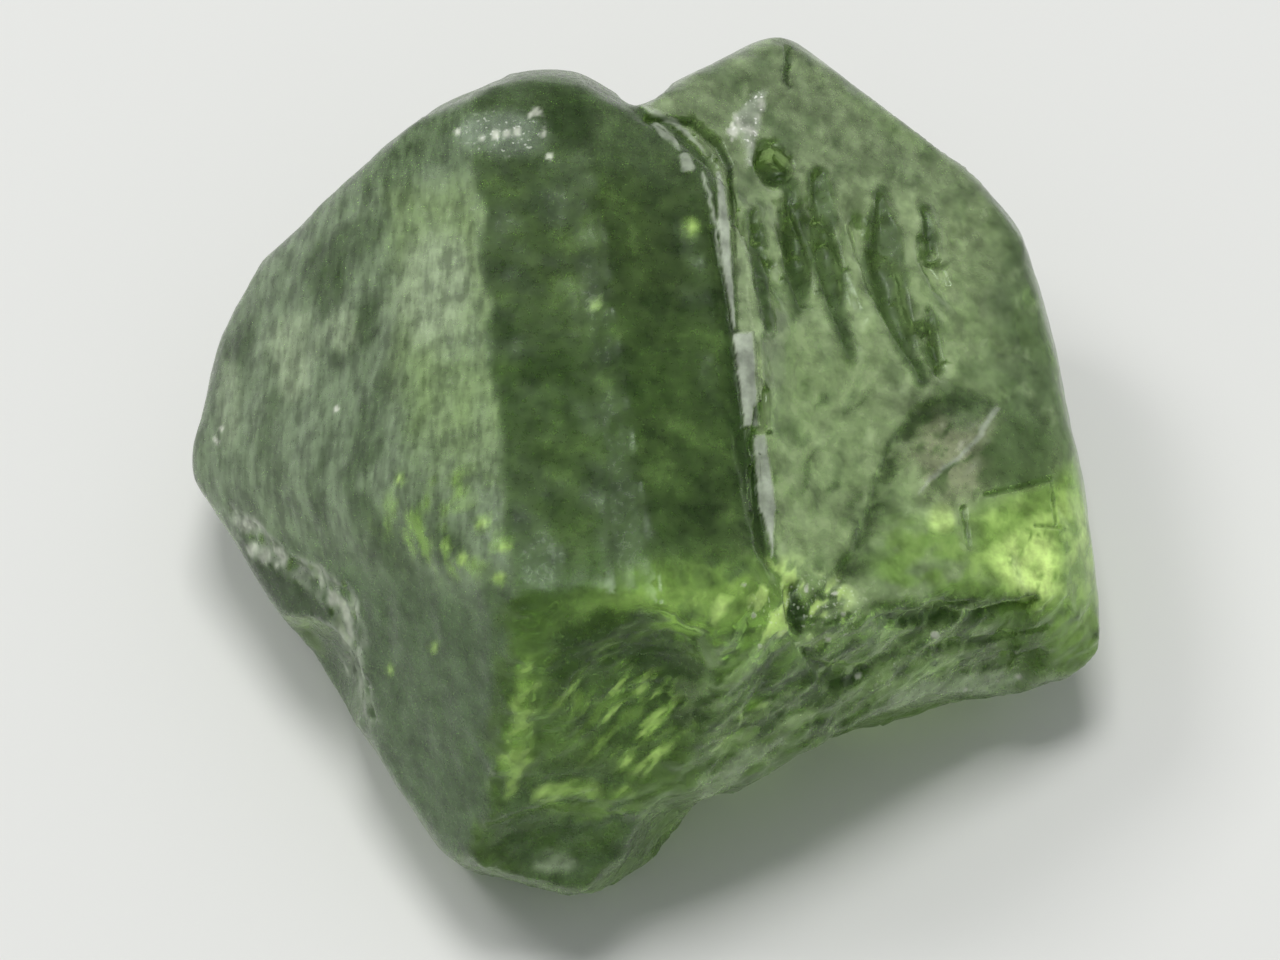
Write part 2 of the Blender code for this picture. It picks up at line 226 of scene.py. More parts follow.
# Soft oval patches, as (u, v, half width, half height), and a slant in degrees where they have one.
LEFT_PALE = (
    (-4.80, 1.85, 0.50, 0.50), (-4.05, 2.05, 0.30, 0.34),
    (-4.75, 1.35, 0.28, 0.30), (-5.70, 1.10, 0.20, 0.70),
)
# Painted shade in a hollow and along the top of the left face.
LEFT_HOLLOW_SHADE = (-3.72, 2.14, 0.20, 0.40)
LEFT_SHADE = (-4.10, 3.10, 0.90, 0.35, 40.0)
# Painted light: yellow-green specks where light comes through the lower left face.
LEFT_SPECKS = (-2.60, -0.60, 0.95, 0.85)
# The pale middle of the painted sheen band.
BAND_MIDDLE = (-2.80, 2.55, 0.60, 0.95)
# Painted shade on the crown, and a painted sheen of mirrored window light on it that glints.
CROWN_SHADE = (-1.00, 4.95, 0.45, 0.50)
CROWN_SHEEN = (-1.85, 4.75, 0.70, 0.34)
# Painted light and painted glow where light comes through the near end.
LIT_BELOW_MIDDLE = (0.75, -1.65, 1.60, 0.75)
LIT_BELOW_FEATHER = (4.20, -1.05, 1.30, 0.62)
LIT_CORNER = (6.05, -1.85, 0.60, 0.95)
LIT_END = (5.45, -0.90, 1.05, 1.00)
LIT_EDGE = (6.05, -0.80, 0.50, 1.15)
GLOWING_EDGE = (6.10, -0.90, 0.40, 1.20)
GLOWING_END = (5.45, -0.90, 1.00, 0.90)
GLOWING_OVAL = (5.34, -1.14, 0.46, 0.58)
GLOWING_SPOT = (4.10, -0.50, 0.22, 0.24)
# Painted shade under the left foot and in the scoop, and painted light on the scoop's floor and below it.
LEFT_FOOT = (-1.00, -4.70, 1.30, 1.00)
LEFT_FOOT_SHADE = (-1.00, -4.55, 0.90, 0.70)
SCOOP = (-0.20, -2.90, 1.05, 1.05)
SCOOP_FLOOR = (-0.15, -3.20, 0.95, 0.80)
GREEN_UNDER_SCOOP = (-0.60, -4.40, 0.80, 0.34)
# The splintered parts, painted with shade in their dips and light on their edges.
SPLINTERED = ((3.60, -2.20, 2.20, 0.80), (1.20, -2.90, 0.80, 0.90, -35.0), (2.50, -2.90, 1.10, 0.75, 25.0))
FEATHER = (4.35, 0.40, 0.70, 0.85, -35.0)
FEATHER_TOP = (4.48, 0.95, 0.36, 0.32)
# Painted shade in the corner above the cleavage step.
CORNER_SHADE = (5.20, 0.30, 0.62, 0.70)
# Painted glow in the clear shards, and painted glints near the seam's end and the foot.
CLEAR_SHARDS = (1.80, -1.65, 1.15, 0.66)
SEAM_END_GLINTS = (2.30, -1.80, 0.90, 0.60)
FOOT_GLINTS = (4.20, -2.60, 1.60, 0.45)

# The relief, in millimetres: how high each kind of unevenness stands.
SWELL = 0.018
ETCHING = 0.008
LEFT_STRIAE = 0.012
RIGHT_CRESTS = 0.022
SPLINTERS = 0.055
SMALL_SPLINTERS = 0.028
PIT_RIM = 0.02
LEDGE_RISE = 0.05
CRUMBS = 0.04
UNDERSIDE_LOSS = 0.16
RESTING_LAYER = 0.03

# Cuts and ridges along the strokes: which ones, how ragged they are, how deep inside their outline the edge
# starts and ends, and how far the surface rises. A negative rise is a cut.
CARVINGS = (
    (LENS_PITS, "loose", (-0.05, 0.16), -0.17),
    (ROUND_PIT, "loose", (-0.04, 0.16), -0.20),
    (PALE_THREADS, "loose", (-0.02, 0.02), 0.03),
    (DARK_SEAM, "sharp", (-0.04, 0.04), -0.12),
    (TOP_CRACK, "sharp", (-0.03, 0.04), -0.10),
    (DARK_BESIDE_SEAM, "loose", (-0.06, 0.06), -0.05),
    (CLEAVAGE_STEPS, "sharp", (-0.02, 0.02), -0.06),
    (END_LEDGES, "loose", (-0.05, 0.08), -0.10),
    (DIAGONAL, "loose", (-0.05, 0.08), -0.05),
    (SEAM_END_PIT, "loose", (-0.03, 0.10), -0.14),
    (SCOOP_STREAKS, "loose", (-0.04, 0.04), 0.04),
    (BRIGHT_CHIPS + BRIGHT_STRIP, "loose", (-0.03, 0.05), 0.03),
    (LEFT_CHIPS, "crumbly", (-0.03, 0.06), -0.05),
)

# Looks of the surface: its colour, its roughness, and the share of light that it scatters at once instead of
# letting it into the clear stone. Some of them are painted light or shade rather than the stone's own colour.
LOOKS = {
    "weathered": ((0.38, 0.52, 0.26), 0.28, 0.12),
    "near_end": ((0.36, 0.50, 0.20), 0.16, 0.10),
    "left_face": ((0.32, 0.40, 0.27), 0.34, 0.46),
    "left_pale": ((0.50, 0.60, 0.40), 0.34, 0.52),
    # dark patches at random, and also painted shade in a hollow and at the top of the left face
    "left_dark": ((0.12, 0.17, 0.09), 0.30, 0.32),
    # painted sheen: the band along the ridge where the window light is mirrored, painted lighter
    "band_sheen": ((0.38, 0.50, 0.25), 0.34, 0.42),
    "left_low": ((0.16, 0.23, 0.13), 0.28, 0.34),
    # painted shade: the thick middle face, painted darker
    "shaded_middle": ((0.20, 0.28, 0.12), 0.34, 0.14),
    # painted shade in pits, cracks, grooves, under ledges and in the middle's darkest mottle
    "darkest_shade": ((0.05, 0.085, 0.03), 0.32, 0.26),
    "mottle": ((0.38, 0.56, 0.20), 0.24, 0.22),
    "crown": ((0.25, 0.33, 0.20), 0.24, 0.26),
    # painted sheen: a pale haze of mirrored window light on the crown
    "painted_sheen": ((0.50, 0.57, 0.50), 0.26, 0.45),
    "right_high": ((0.46, 0.56, 0.34), 0.24, 0.34),
    "right_face": ((0.76, 0.93, 0.52), 0.14, 0.28),
    "right_side": ((0.30, 0.40, 0.23), 0.20, 0.22),
    # painted shade in pits, nicks, steps, a corner and the feather's barbs
    "pit_shade": ((0.20, 0.29, 0.13), 0.36, 0.28),
    # painted highlight: lit rims of pits, lit crests and splinters, and a lit wedge
    "lit_pale_green": ((0.70, 0.86, 0.50), 0.22, 0.40),
    # painted glow where light comes through the stone
    "glow": ((0.74, 1.00, 0.32), 0.14, 0.80),
    # painted light: lit patches, streaks, chips, dots and specks where light comes through
    "lit_green": ((0.64, 0.98, 0.26), 0.14, 0.24),
    # painted shade in the scoop and under the left foot, and darker clouds on the break
    "scoop": ((0.18, 0.27, 0.11), 0.28, 0.28),
    "bevel": ((0.52, 0.62, 0.43), 0.34, 0.54),
    "brownish": ((0.46, 0.48, 0.31), 0.34, 0.48),
    "pale_ledge": ((0.47, 0.52, 0.42), 0.42, 0.72),
    # pale bruised chips and edges, and also the painted white glints
    "bruise_and_glint": ((0.70, 0.72, 0.62), 0.45, 0.78),
}
# The white of the painted glints.
GLINT_COLOUR = (0.92, 0.95, 0.86, 1.0)

# The clear stone itself. The shine is the share of a polished face's mirroring that its etched skin keeps.
STONE_IOR = 1.67
STONE_SHINE = (0.17, 0.20, 0.17, 1.0)
INSIDE_COLOUR = (0.70, 0.84, 0.42, 1.0)
INSIDE_DENSITY = 200.0

# The material's fine patterns: the size of their lumps in millimetres, then the noise values that matter and
# what they are stretched to.
BLOTCH_SIZE = 0.32
STRIA_WIDTH = 0.10
STRIA_SQUEEZE = (1.0, 0.14, 0.5)
SPARK_SIZE = 0.06
GRAIN_SIZE = 0.085
LUMP_DETAIL = 4.0
LUMP_ROUGHNESS = 0.6
BLOTCH_VALUES, BLOTCH_SHADES = (0.32, 0.68), (0.60, 1.38)
SPARK_VALUES, SPARK_SHARES = (0.62, 0.70), (0.0, 1.0)
GRAIN_VALUES, GRAIN_ROUGHENING = (0.35, 0.65), (0.7, 1.3)
SPARK_CLOUDING = 0.8
BUMP_STRENGTH = 0.25
BUMP_HEIGHT = 0.010

# The lights, as (heading, elevation, size, irradiance on the sheet): heading 0 is behind the stone, 90 to the
# right; size in metres. They all hang at the same distance.
LIGHT_DISTANCE = 0.40
LIGHT_COLOUR = (1.0, 1.0, 0.98)
LIGHTS = {
    "ceiling": (-12.0, 83.0, 0.12, 1.54),
    "window": (-66.0, 55.0, 0.12, 0.58),
}
ROOM_COLOUR = (0.95, 0.98, 1.0, 1.0)
ROOM_LIGHT = 0.36
BOUNCES = 9
BRIGHTEST_BOUNCE = 5.0

# The sheet under the stone, and the camera, in metres. The photograph shows 0.0138 mm a pixel at the stone.
SHEET_SIZE = 1.2
SHEET_DROP = 0.00001
SHEET_COLOUR = (0.80, 0.80, 0.785, 1.0)
VIEW_ELEVATION = 60.0
VIEW_DISTANCE = 0.11
VIEW_WIDTH = 1280 * 0.0138 * MM
NEAREST_SEEN = 0.002

# Multipliers that scramble whole numbers for the noise, one for each axis and one for the seed.
AXIS_SCRAMBLERS = (374761393, 668265263, 2147483647)
SEED_SCRAMBLER = 1274126177


def on_stone(points):
    """Points of the row frame, in metres, as rows of (u, v, w) in millimetres."""
    return (points / MM - np.array(STONE_ORIGIN)) @ np.array(TO_ROW)


def in_row(points):
    """Rows of (u, v, w) in millimetres, as points of the row frame in metres."""
    return (points @ np.array(TO_ROW).T + np.array(STONE_ORIGIN)) * MM


def direction(heading, lean):
    """The unit vector of a crystal face in the stone's frame."""
    around, up = math.radians(heading), math.radians(lean)
    return np.array((math.cos(around) * math.cos(up), math.sin(around) * math.cos(up), math.sin(up)))


def smooth_step(low, high, value):
    """0 below low, 1 above high, and a smooth ramp between them."""
    share = np.clip((value - low) / (high - low), 0.0, 1.0)
    return share * share * (3.0 - 2.0 * share)


def lattice_values(cells, seed):
    """A fixed pseudo-random number from -1 to 1 for each whole-numbered lattice cell."""
    mixed = cells @ np.array(AXIS_SCRAMBLERS) + seed * SEED_SCRAMBLER
    mixed = (mixed ^ (mixed >> 13)) * SEED_SCRAMBLER & 0x7FFFFFFF
    mixed = (mixed ^ (mixed >> 16)) & 0xFFFF
    return mixed / (0xFFFF / 2) - 1.0


def noise(points, size, seed=0):
    """Smooth noise from about -1 to 1, with lumps of one size, or of one size for each axis."""
    scaled = points / np.array(size)
    base = np.floor(scaled).astype(np.int64)
    share = scaled - base
    share = share * share * (3.0 - 2.0 * share)
    total = np.zeros(len(points))
    for corner in np.ndindex(2, 2, 2):
        weight = np.prod(np.where(np.array(corner) == 1, share, 1.0 - share), axis=1)
        total += weight * lattice_values(base + np.array(corner), seed)
    return total


def rough_noise(points, size, octaves, seed=0):
    """Several octaves of noise, each half the size and height of the last."""
    total = np.zeros(len(points))
    for octave in range(octaves):
        total += noise(points, np.array(size) / 2**octave, seed + octave) / 2**octave
    return total


def terraces(points, size, steps, seed):
    """Rough noise whose heights are gathered into steps, as on a splintered break."""
    height = rough_noise(points, size, 2, seed) * steps
    floor = np.floor(height)
    return (floor + smooth_step(0.35, 0.65, height - floor)) / steps


def stroke(points, path):
    """How deep inside a stroke each point lies, seen from the eye, in millimetres. It is negative outside."""
    deepest = np.full(len(points), -np.inf)
    for (u0, v0, r0), (u1, v1, r1) in zip(path, path[1:]):
        along = np.array((u1 - u0, v1 - v0))
        offset = points[:, :2] - np.array((u0, v0))
        share = np.clip(offset @ along / (along @ along), 0.0, 1.0)
        gap = np.linalg.norm(offset - share[:, None] * along, axis=1)
        deepest = np.maximum(deepest, r0 + (r1 - r0) * share - gap)
    return deepest


def strokes(points, paths):
    """The same for a group of strokes."""
    return np.max([stroke(points, path) for path in paths], axis=0)


def square_strokes(points, paths):
    """The same for straight strokes of two places each, whose ends are cut square."""
    depths = []
    for (u0, v0, r0), (u1, v1, r1) in paths:
        length = math.hypot(u1 - u0, v1 - v0)
        along = np.array((u1 - u0, v1 - v0)) / length
        offset = points[:, :2] - np.array((u0, v0))
        reach = offset @ along
        across = np.abs(offset[:, 0] * along[1] - offset[:, 1] * along[0])
        edge = r0 + (r1 - r0) * reach / length - across
        depths.append(np.min([edge, reach, length - reach], axis=0))
    return np.max(depths, axis=0)


def spots(points, places):
    """The same for round spots of (u, v, half width)."""
    return np.max([r - np.hypot(points[:, 0] - u, points[:, 1] - v) for u, v, r in places], axis=0)


def slanted(points, slant):
    """The points turned, so that the grain of noise drawn on them runs at that slant, in degrees."""
    turn = math.radians(slant)
    turned = points.copy()
    turned[:, 0] = points[:, 0] * math.cos(turn) + points[:, 1] * math.sin(turn)
    turned[:, 1] = points[:, 1] * math.cos(turn) - points[:, 0] * math.sin(turn)
    return turned


def patch(points, u, v, half_u, half_v, slant=0.0):
    """1 in the middle of a soft oval patch and 0 outside it, seen from the eye."""
    centred = slanted(points - np.array((u, v, 0.0)), slant)
    reach = np.hypot(centred[:, 0] / half_u, centred[:, 1] / half_v)
    return 1.0 - smooth_step(0.55, 1.15, reach + 0.16 * rough_noise(points, 0.5, 2, seed=91))


def right_of(points, line):
    """How far each point lies to the right of a line of (u, v) points that runs down the stone."""
    across, height = np.array(line[::-1]).T
    return points[:, 0] - np.interp(points[:, 1], height, across)


def ragged(points, amount, size, seed):
    """The points shifted sideways by noise, so that strokes drawn on them get uneven edges."""
    moved = points.copy()
    moved[:, 0] += amount * rough_noise(points, size, 2, seed)
    moved[:, 1] += amount * rough_noise(points, size, 2, seed + 7)
    return moved


def ledges(points):
    """How deep inside the seam's pale ledges each point lies."""
    chipped = ragged(points, 0.012, 0.12, seed=43)
    return np.maximum(square_strokes(chipped, SQUARE_LEDGES), strokes(chipped, PALE_LEDGES))


def fine_copy(node):
    """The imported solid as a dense, even mesh in millimetres, rounded just enough to lose its small facets."""
    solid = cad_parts[node]
    mesh = solid.data.copy()
    mesh.transform(Matrix.Scale(1.0 / MM, 4))
    made = bpy.data.objects.new(PIECE, mesh)
    bpy.context.scene.collection.objects.link(made)
    grain = made.modifiers.new("grain", "REMESH")
    grain.mode = "VOXEL"
    grain.voxel_size = FINE_GRAIN
    rounding = made.modifiers.new("rounding", "SMOOTH")
    rounding.factor = SMOOTHING_FACTOR
    rounding.iterations = SMOOTHING_STEPS
    graph = bpy.context.evaluated_depsgraph_get()
    fine = bpy.data.meshes.new_from_object(made.evaluated_get(graph))
    made.modifiers.clear()
    made.data = fine
    return made


def needs_detail(middle, outward):
    """Whether a face is in the part of the stone where pits, ledges and chips need a finer mesh."""
    to_eye = outward[:, 2] > 0.05
    seam = np.abs(right_of(middle, SEAM)) < SEAM_MARGIN
    pits = strokes(middle, LENS_PITS + BRUISED_WEDGE + ROUND_PIT + TOP_CRACK) > -PIT_MARGIN
    near_end = END_LEDGES + SCOOP_STREAKS + CLEAVAGE_STEPS + DIAGONAL + FEATHER_LINE
    chips = LEFT_CHIPS + BRIGHT_CHIPS + BRIGHT_STRIP + SEAM_END_PIT
    marks = strokes(middle, near_end + chips) > -STROKE_MARGIN
    splintered = outward @ direction(*BREAK) > 0.80
    return to_eye & (seam | pits | marks | splintered)


def needs_thin_lines(middle, outward):
    """Whether a face lies along the edge of a thin line or on a glint."""
    to_eye = outward[:, 2] > 0.1
    thin = strokes(middle, PALE_LEDGES + PALE_THREADS + CLEAVAGE_STEPS + SQUARE_LEDGES)
    line = np.abs(thin) < LINE_MARGIN
    seam = np.abs(strokes(middle, DARK_SEAM)) < NARROW_MARGIN
    return to_eye & (line | seam | (spots(middle, GLINTS) > -NARROW_MARGIN))


def refine(mesh, wanted):
    """Splits in four each face that wanted() picks by its middle and its outward direction."""
    work = bmesh.new()
    work.from_mesh(mesh)
    middle = on_stone(np.array([face.calc_center_median() for face in work.faces]) * MM)
    outward = np.array([face.normal for face in work.faces]) @ np.array(TO_ROW)
    picked = wanted(middle, outward)
    edges = {edge for face, yes in zip(work.faces, picked) if yes for edge in face.edges}
    bmesh.ops.subdivide_edges(work, edges=list(edges), cuts=1, use_grid_fill=True)
    bmesh.ops.triangulate(work, faces=[face for face in work.faces if len(face.verts) > 4])
    work.to_mesh(mesh)
    work.free()


def read_mesh(mesh):
    """The mesh's points and normals in the stone's frame."""
    points = np.zeros(len(mesh.vertices) * 3)
    mesh.vertices.foreach_get("co", points)
    normals = np.zeros(len(mesh.vertices) * 3)
    mesh.vertices.foreach_get("normal", normals)
    return on_stone(points.reshape(-1, 3)), normals.reshape(-1, 3) @ np.array(TO_ROW)


def faces_of(normals):
    """How much each point belongs to the stone's main faces, from 0 to 1."""
    return {
        "eye": smooth_step(0.02, 0.30, normals[:, 2]),
        "left": smooth_step(0.74, 0.90, normals @ direction(*LEFT_PRISM)),
        "right": smooth_step(0.80, 0.95, normals @ direction(*RIGHT_PRISM)),
        "broken": smooth_step(0.45, 0.75, normals @ direction(*BREAK)),
    }


def face_relief(points, face):
    """The unevenness of the faces themselves: swell, etching, striae, crests and splinters."""
    warped = ragged(slanted(points, 28.0), 0.16, 0.55, seed=7)
    uneven = ragged(points, 0.14, 0.60, seed=33)
    height = SWELL * rough_noise(warped, 0.62, 3, seed=3)
    height += ETCHING * noise(warped, (0.20, 0.34, 0.20), seed=5) * (1.0 - face["broken"])
    height += LEFT_STRIAE * face["left"] * rough_noise(points, (0.20, 1.6, 0.8), 2, seed=11)
    crests = np.abs(rough_noise(slanted(points, 60.0), (0.7, 0.4, 0.5), 2, seed=13))
    height += RIGHT_CRESTS * face["right"] * crests
    height += SPLINTERS * face["broken"] * terraces(slanted(uneven, 20.0), (0.8, 0.3, 0.4), 4, seed=31)
    small = terraces(slanted(uneven, 48.0), (0.34, 0.15, 0.3), 3, seed=37)
    height += SMALL_SPLINTERS * face["broken"] * small
    return height


def carved_relief(points):
    """The pits, ledges, grooves and chips on the side towards the eye."""
    places = {
        "sharp": points,
        "loose": ragged(points, 0.03, 0.22, seed=41),
        "crumbly": ragged(points, 0.06, 0.20, seed=47),
    }
    height = LEDGE_RISE * smooth_step(-0.015, 0.015, ledges(points))
    for paths, edge, fade, rise in CARVINGS:
        height += rise * smooth_step(*fade, strokes(places[edge], paths))
    pits = strokes(places["loose"], LENS_PITS)
    height += PIT_RIM * smooth_step(-0.14, -0.05, pits) * smooth_step(0.03, -0.05, pits)
    crumbly = smooth_step(-0.02, 0.08, strokes(places["loose"], LEFT_CHIPS + BRUISED_WEDGE))
    height += CRUMBS * crumbly * rough_noise(points, 0.14, 2, seed=51)
    return height


def etched_underside(points):
    """How far the resting face is eaten away above the table, in millimetres. About half still rests."""
    return UNDERSIDE_LOSS * smooth_step(0.05, 0.9, rough_noise(points, 1.1, 3, seed=61) + 0.15)


def carve(stone):
    """Moves the fine mesh's points by the relief, and keeps its underside on the table."""
    mesh = stone.data
    points, normals = read_mesh(mesh)
    face = faces_of(normals)
    height = face_relief(points, face) + carved_relief(points) * face["eye"]
    low, high = (np.array(corner) for corner in CAD_BOX)
    moved = np.clip(in_row(points + normals * height[:, None]), low, high)
    resting = in_row(points)[:, 2] < RESTING_LAYER * MM
    moved[resting, 2] = etched_underside(points[resting]) * MM
    mesh.vertices.foreach_set("co", moved.ravel())
    mesh.update()
    mesh.shade_smooth()


class Coat:
    """Colour with painted light and shade, roughness, scatter, striae and painted glints at each point, in
    layers.
    """

    def __init__(self, points, face, look):
        colour, rough, solid = LOOKS[look]
        self.points = points
        self.face = face
        self.colour = np.tile(np.array(colour), (len(points), 1))
        self.rough = np.full(len(points), rough)
        self.solid = np.full(len(points), solid)
        self.striae = np.zeros(len(points))
        self.painted_glints = np.zeros(len(points))

    def lay_all_round(self, mask, look, strength=1.0):
        """Mixes a look in, by the mask times the strength."""
        colour, rough, solid = LOOKS[look]
        share = mask * strength
        self.colour += (np.array(colour) - self.colour) * share[:, None]
        self.rough += (rough - self.rough) * share
        self.solid += (solid - self.solid) * share

    def lay(self, mask, look, strength=1.0):
        """The same, only on the side towards the eye."""
        self.lay_all_round(mask * self.face["eye"], look, strength)

    def lay_patch(self, place, look, strength=1.0, within=1.0):
        """Mixes a look in over a soft patch, where the mask within allows it."""
        self.lay(patch(self.points, *place) * within, look, strength)

    def lay_strokes(self, points, paths, fade, look, strength=1.0, within=1.0):
        """Mixes a look in along strokes. fade is how deep inside their outline it starts and is full."""
        self.lay(smooth_step(*fade, strokes(points, paths)) * within, look, strength)

    def add_painted_glints(self, mask, strength=1.0):
        """Lets painted glints show as sparks where the mask is 1."""
        self.painted_glints = np.maximum(self.painted_glints, mask * self.face["eye"] * strength)


def coat_left_face(coat, beyond_ridge, brushed, blotches):
    """The frosted left face, with pale and dark patches, fine striae and two patches of painted shade."""
    points = coat.points
    left = smooth_step(0.12, -0.12, beyond_ridge)
    coat.lay(left, "left_face", 0.95)
    coat.striae = left * coat.face["eye"] * smooth_step(-1.4, -0.6, points[:, 1])
    coat.lay(left * smooth_step(0.0, 0.8, blotches), "left_dark", 0.7)
    pale = sum(patch(points, *place) for place in LEFT_PALE)
    coat.lay(left * np.clip(pale * (0.8 + 0.5 * brushed), 0.0, 1.0), "left_pale", 0.85)
    coat.lay_patch(LEFT_HOLLOW_SHADE, "left_dark", 0.8, within=left)
    coat.lay_patch(LEFT_SHADE, "left_dark", 0.6, within=left)


def coat_sheen_band(coat, beyond_ridge, brushed, blotches):
    """The painted sheen band along the ridge, and the left face's dark foot with specks of painted light."""
    points = coat.points
    left = smooth_step(0.12, -0.12, beyond_ridge)
    band = smooth_step(-1.55, -1.00, beyond_ridge + 0.15 * blotches) * smooth_step(0.02, -0.05, beyond_ridge)
    band *= smooth_step(-0.6, 0.9, points[:, 1]) * smooth_step(4.35, 3.75, points[:, 1] + 0.2 * brushed)
    coat.lay(band * np.clip(0.85 + 0.3 * brushed, 0.0, 1.0), "band_sheen")
    coat.lay_patch(BAND_MIDDLE, "left_pale", 0.8, within=band)
    low = smooth_step(-0.9, -1.6, points[:, 1] + 0.25 * (points[:, 0] + 3.5))
    coat.lay(low * left, "left_low", 0.9)
    specks = smooth_step(-0.2, 0.9, rough_noise(points, (0.24, 0.30, 0.2), 3, seed=109))
    coat.lay_patch(LEFT_SPECKS, "lit_green", 0.8, within=left * specks)


def coat_middle_face(coat, beyond_ridge, beyond_seam, blotches):
    """The mottled face between the ridge and the seam, painted dark as shade in the thick stone."""
    points = coat.points
    middle = smooth_step(-0.04, 0.10, beyond_ridge) * smooth_step(0.02, -0.08, beyond_seam)
    middle *= smooth_step(-1.7, -0.4, points[:, 1] + 0.4 * blotches)
    uneven = ragged(slanted(points, 35.0), 0.10, 0.5, seed=145)
    mottled = rough_noise(uneven, (0.28, 0.38, 0.28), 4, seed=107)
    coat.lay(middle, "shaded_middle", 0.95)
    coat.lay(middle * smooth_step(0.05, 0.60, mottled), "darkest_shade", 0.8)
    coat.lay(middle * smooth_step(0.2, 0.8, -mottled), "mottle", 0.65)


def coat_crown(coat, beyond_seam, blotches):
    """The left crystal's rounded top, with painted shade in a hollow and a painted sheen that glints."""
    points = coat.points
    crown = smooth_step(3.7, 4.5, points[:, 1] + 0.3 * blotches) * smooth_step(0.1, -0.1, beyond_seam)
    coat.lay(crown, "crown", 0.7)
    coat.lay_patch(CROWN_SHADE, "darkest_shade", 0.8)
    coat.lay_patch(CROWN_SHEEN, "painted_sheen", 0.6)
    coat.add_painted_glints(patch(points, *CROWN_SHEEN), 0.7)


def coat_left_crystal(coat):
    """The left crystal, from its left face to the seam."""
    points = coat.points
    brushed = rough_noise(points, (0.16, 0.9, 0.5), 3, seed=101)
    blotches = rough_noise(points, (0.7, 0.9, 0.7), 3, seed=103)
    beyond_ridge = right_of(ragged(points, 0.09, 0.4, seed=105), RIDGE)
    beyond_seam = right_of(points, SEAM)
    coat_left_face(coat, beyond_ridge, brushed, blotches)
    coat_sheen_band(coat, beyond_ridge, brushed, blotches)
    coat_middle_face(coat, beyond_ridge, beyond_seam, blotches)
    coat_crown(coat, beyond_seam, blotches)


def coat_right_crystal(coat):
    """The right crystal's etched upper face and darker side; painted light and shade at pits and crests."""
    points = coat.points
    right = smooth_step(-0.02, 0.10, right_of(points, SEAM)) * smooth_step(-2.2, -1.6, points[:, 1])
    blotches = rough_noise(points, (0.5, 0.6, 0.5), 4, seed=113)
    crests = rough_noise(slanted(points, 64.0), (0.42, 0.15, 0.3), 3, seed=115)
    loose = ragged(points, 0.08, 0.24, seed=117)
    coat.lay(right, "right_face", 0.95)
    coat.lay(right * smooth_step(3.3, 4.6, points[:, 1] + 0.2 * blotches), "right_high", 0.85)
    coat.lay(right * smooth_step(0.1, 0.9, blotches), "right_side", 0.55)
    side = smooth_step(4.5, 5.2, points[:, 0] + 0.2 * blotches) * smooth_step(0.1, 0.7, points[:, 1])
    coat.lay(right * side, "right_side", 0.8)
    coat.lay(right * smooth_step(0.35, 0.95, crests), "lit_pale_green", 0.55)
    coat.lay(right * smooth_step(0.30, 0.95, -crests), "right_side", 0.50)
    rims = right * smooth_step(-0.5, 0.4, crests)
    hearts = right * smooth_step(-0.5, 0.4, blotches)
    floors = right * smooth_step(0.3, 0.8, crests)
    coat.lay_strokes(loose, LENS_PITS, (-0.30, -0.14), "lit_pale_green", 0.6, within=rims)
    coat.lay_strokes(loose, LENS_PITS, (-0.14, 0.00), "pit_shade", 0.9, within=right)
    coat.lay_strokes(loose, LENS_PITS, (-0.06, 0.06), "darkest_shade", 0.7, within=hearts)
    coat.lay_strokes(loose, LENS_PITS, (0.00, 0.08), "right_side", 0.5, within=floors)
    coat.lay_strokes(loose, ROUND_PIT, (-0.08, 0.04), "pit_shade", 0.95, within=right)
    coat.lay_strokes(loose, ROUND_PIT, (-0.04, 0.10), "darkest_shade", 0.85, within=right)
    coat.lay_strokes(loose, TOP_CRACK, (-0.03, 0.03), "darkest_shade", 0.95, within=right)
    coat.lay_strokes(loose, NICKS, (-0.06, 0.04), "pit_shade", 0.8, within=right)


def coat_lit_end(coat, shards, clouds):
    """The clear broken end, with painted light and painted glow where light comes through it."""
    broken = coat.face["broken"]
    coat.lay(broken, "near_end", 0.9)
    coat.lay(broken * smooth_step(-0.1, 0.7, clouds), "scoop", 0.8)
    coat.lay(broken * smooth_step(0.1, 0.6, shards), "mottle", 0.5)
    coat.lay_patch(LIT_BELOW_MIDDLE, "lit_green", within=smooth_step(-1.0, 0.2, shards))
    coat.lay_patch(LIT_BELOW_FEATHER, "lit_green", 0.8, within=smooth_step(-0.7, 0.3, shards))
    coat.lay_patch(LIT_CORNER, "lit_green", 0.9, within=smooth_step(-0.9, 0.2, shards))
    coat.lay_patch(LIT_END, "lit_green")
    coat.lay_all_round(patch(coat.points, *LIT_EDGE), "lit_green")
    coat.lay_all_round(patch(coat.points, *GLOWING_EDGE) * smooth_step(-0.9, 0.6, shards), "glow", 0.35)
    coat.lay_patch(GLOWING_END, "glow", 0.5, within=smooth_step(-0.6, 0.6, shards))
    curls = np.abs(rough_noise(coat.points, (0.22, 0.30, 0.3), 2, seed=141))
    coat.lay_patch(GLOWING_OVAL, "glow", within=smooth_step(0.00, 0.14, curls))
    coat.lay_patch(GLOWING_SPOT, "glow", 0.7)


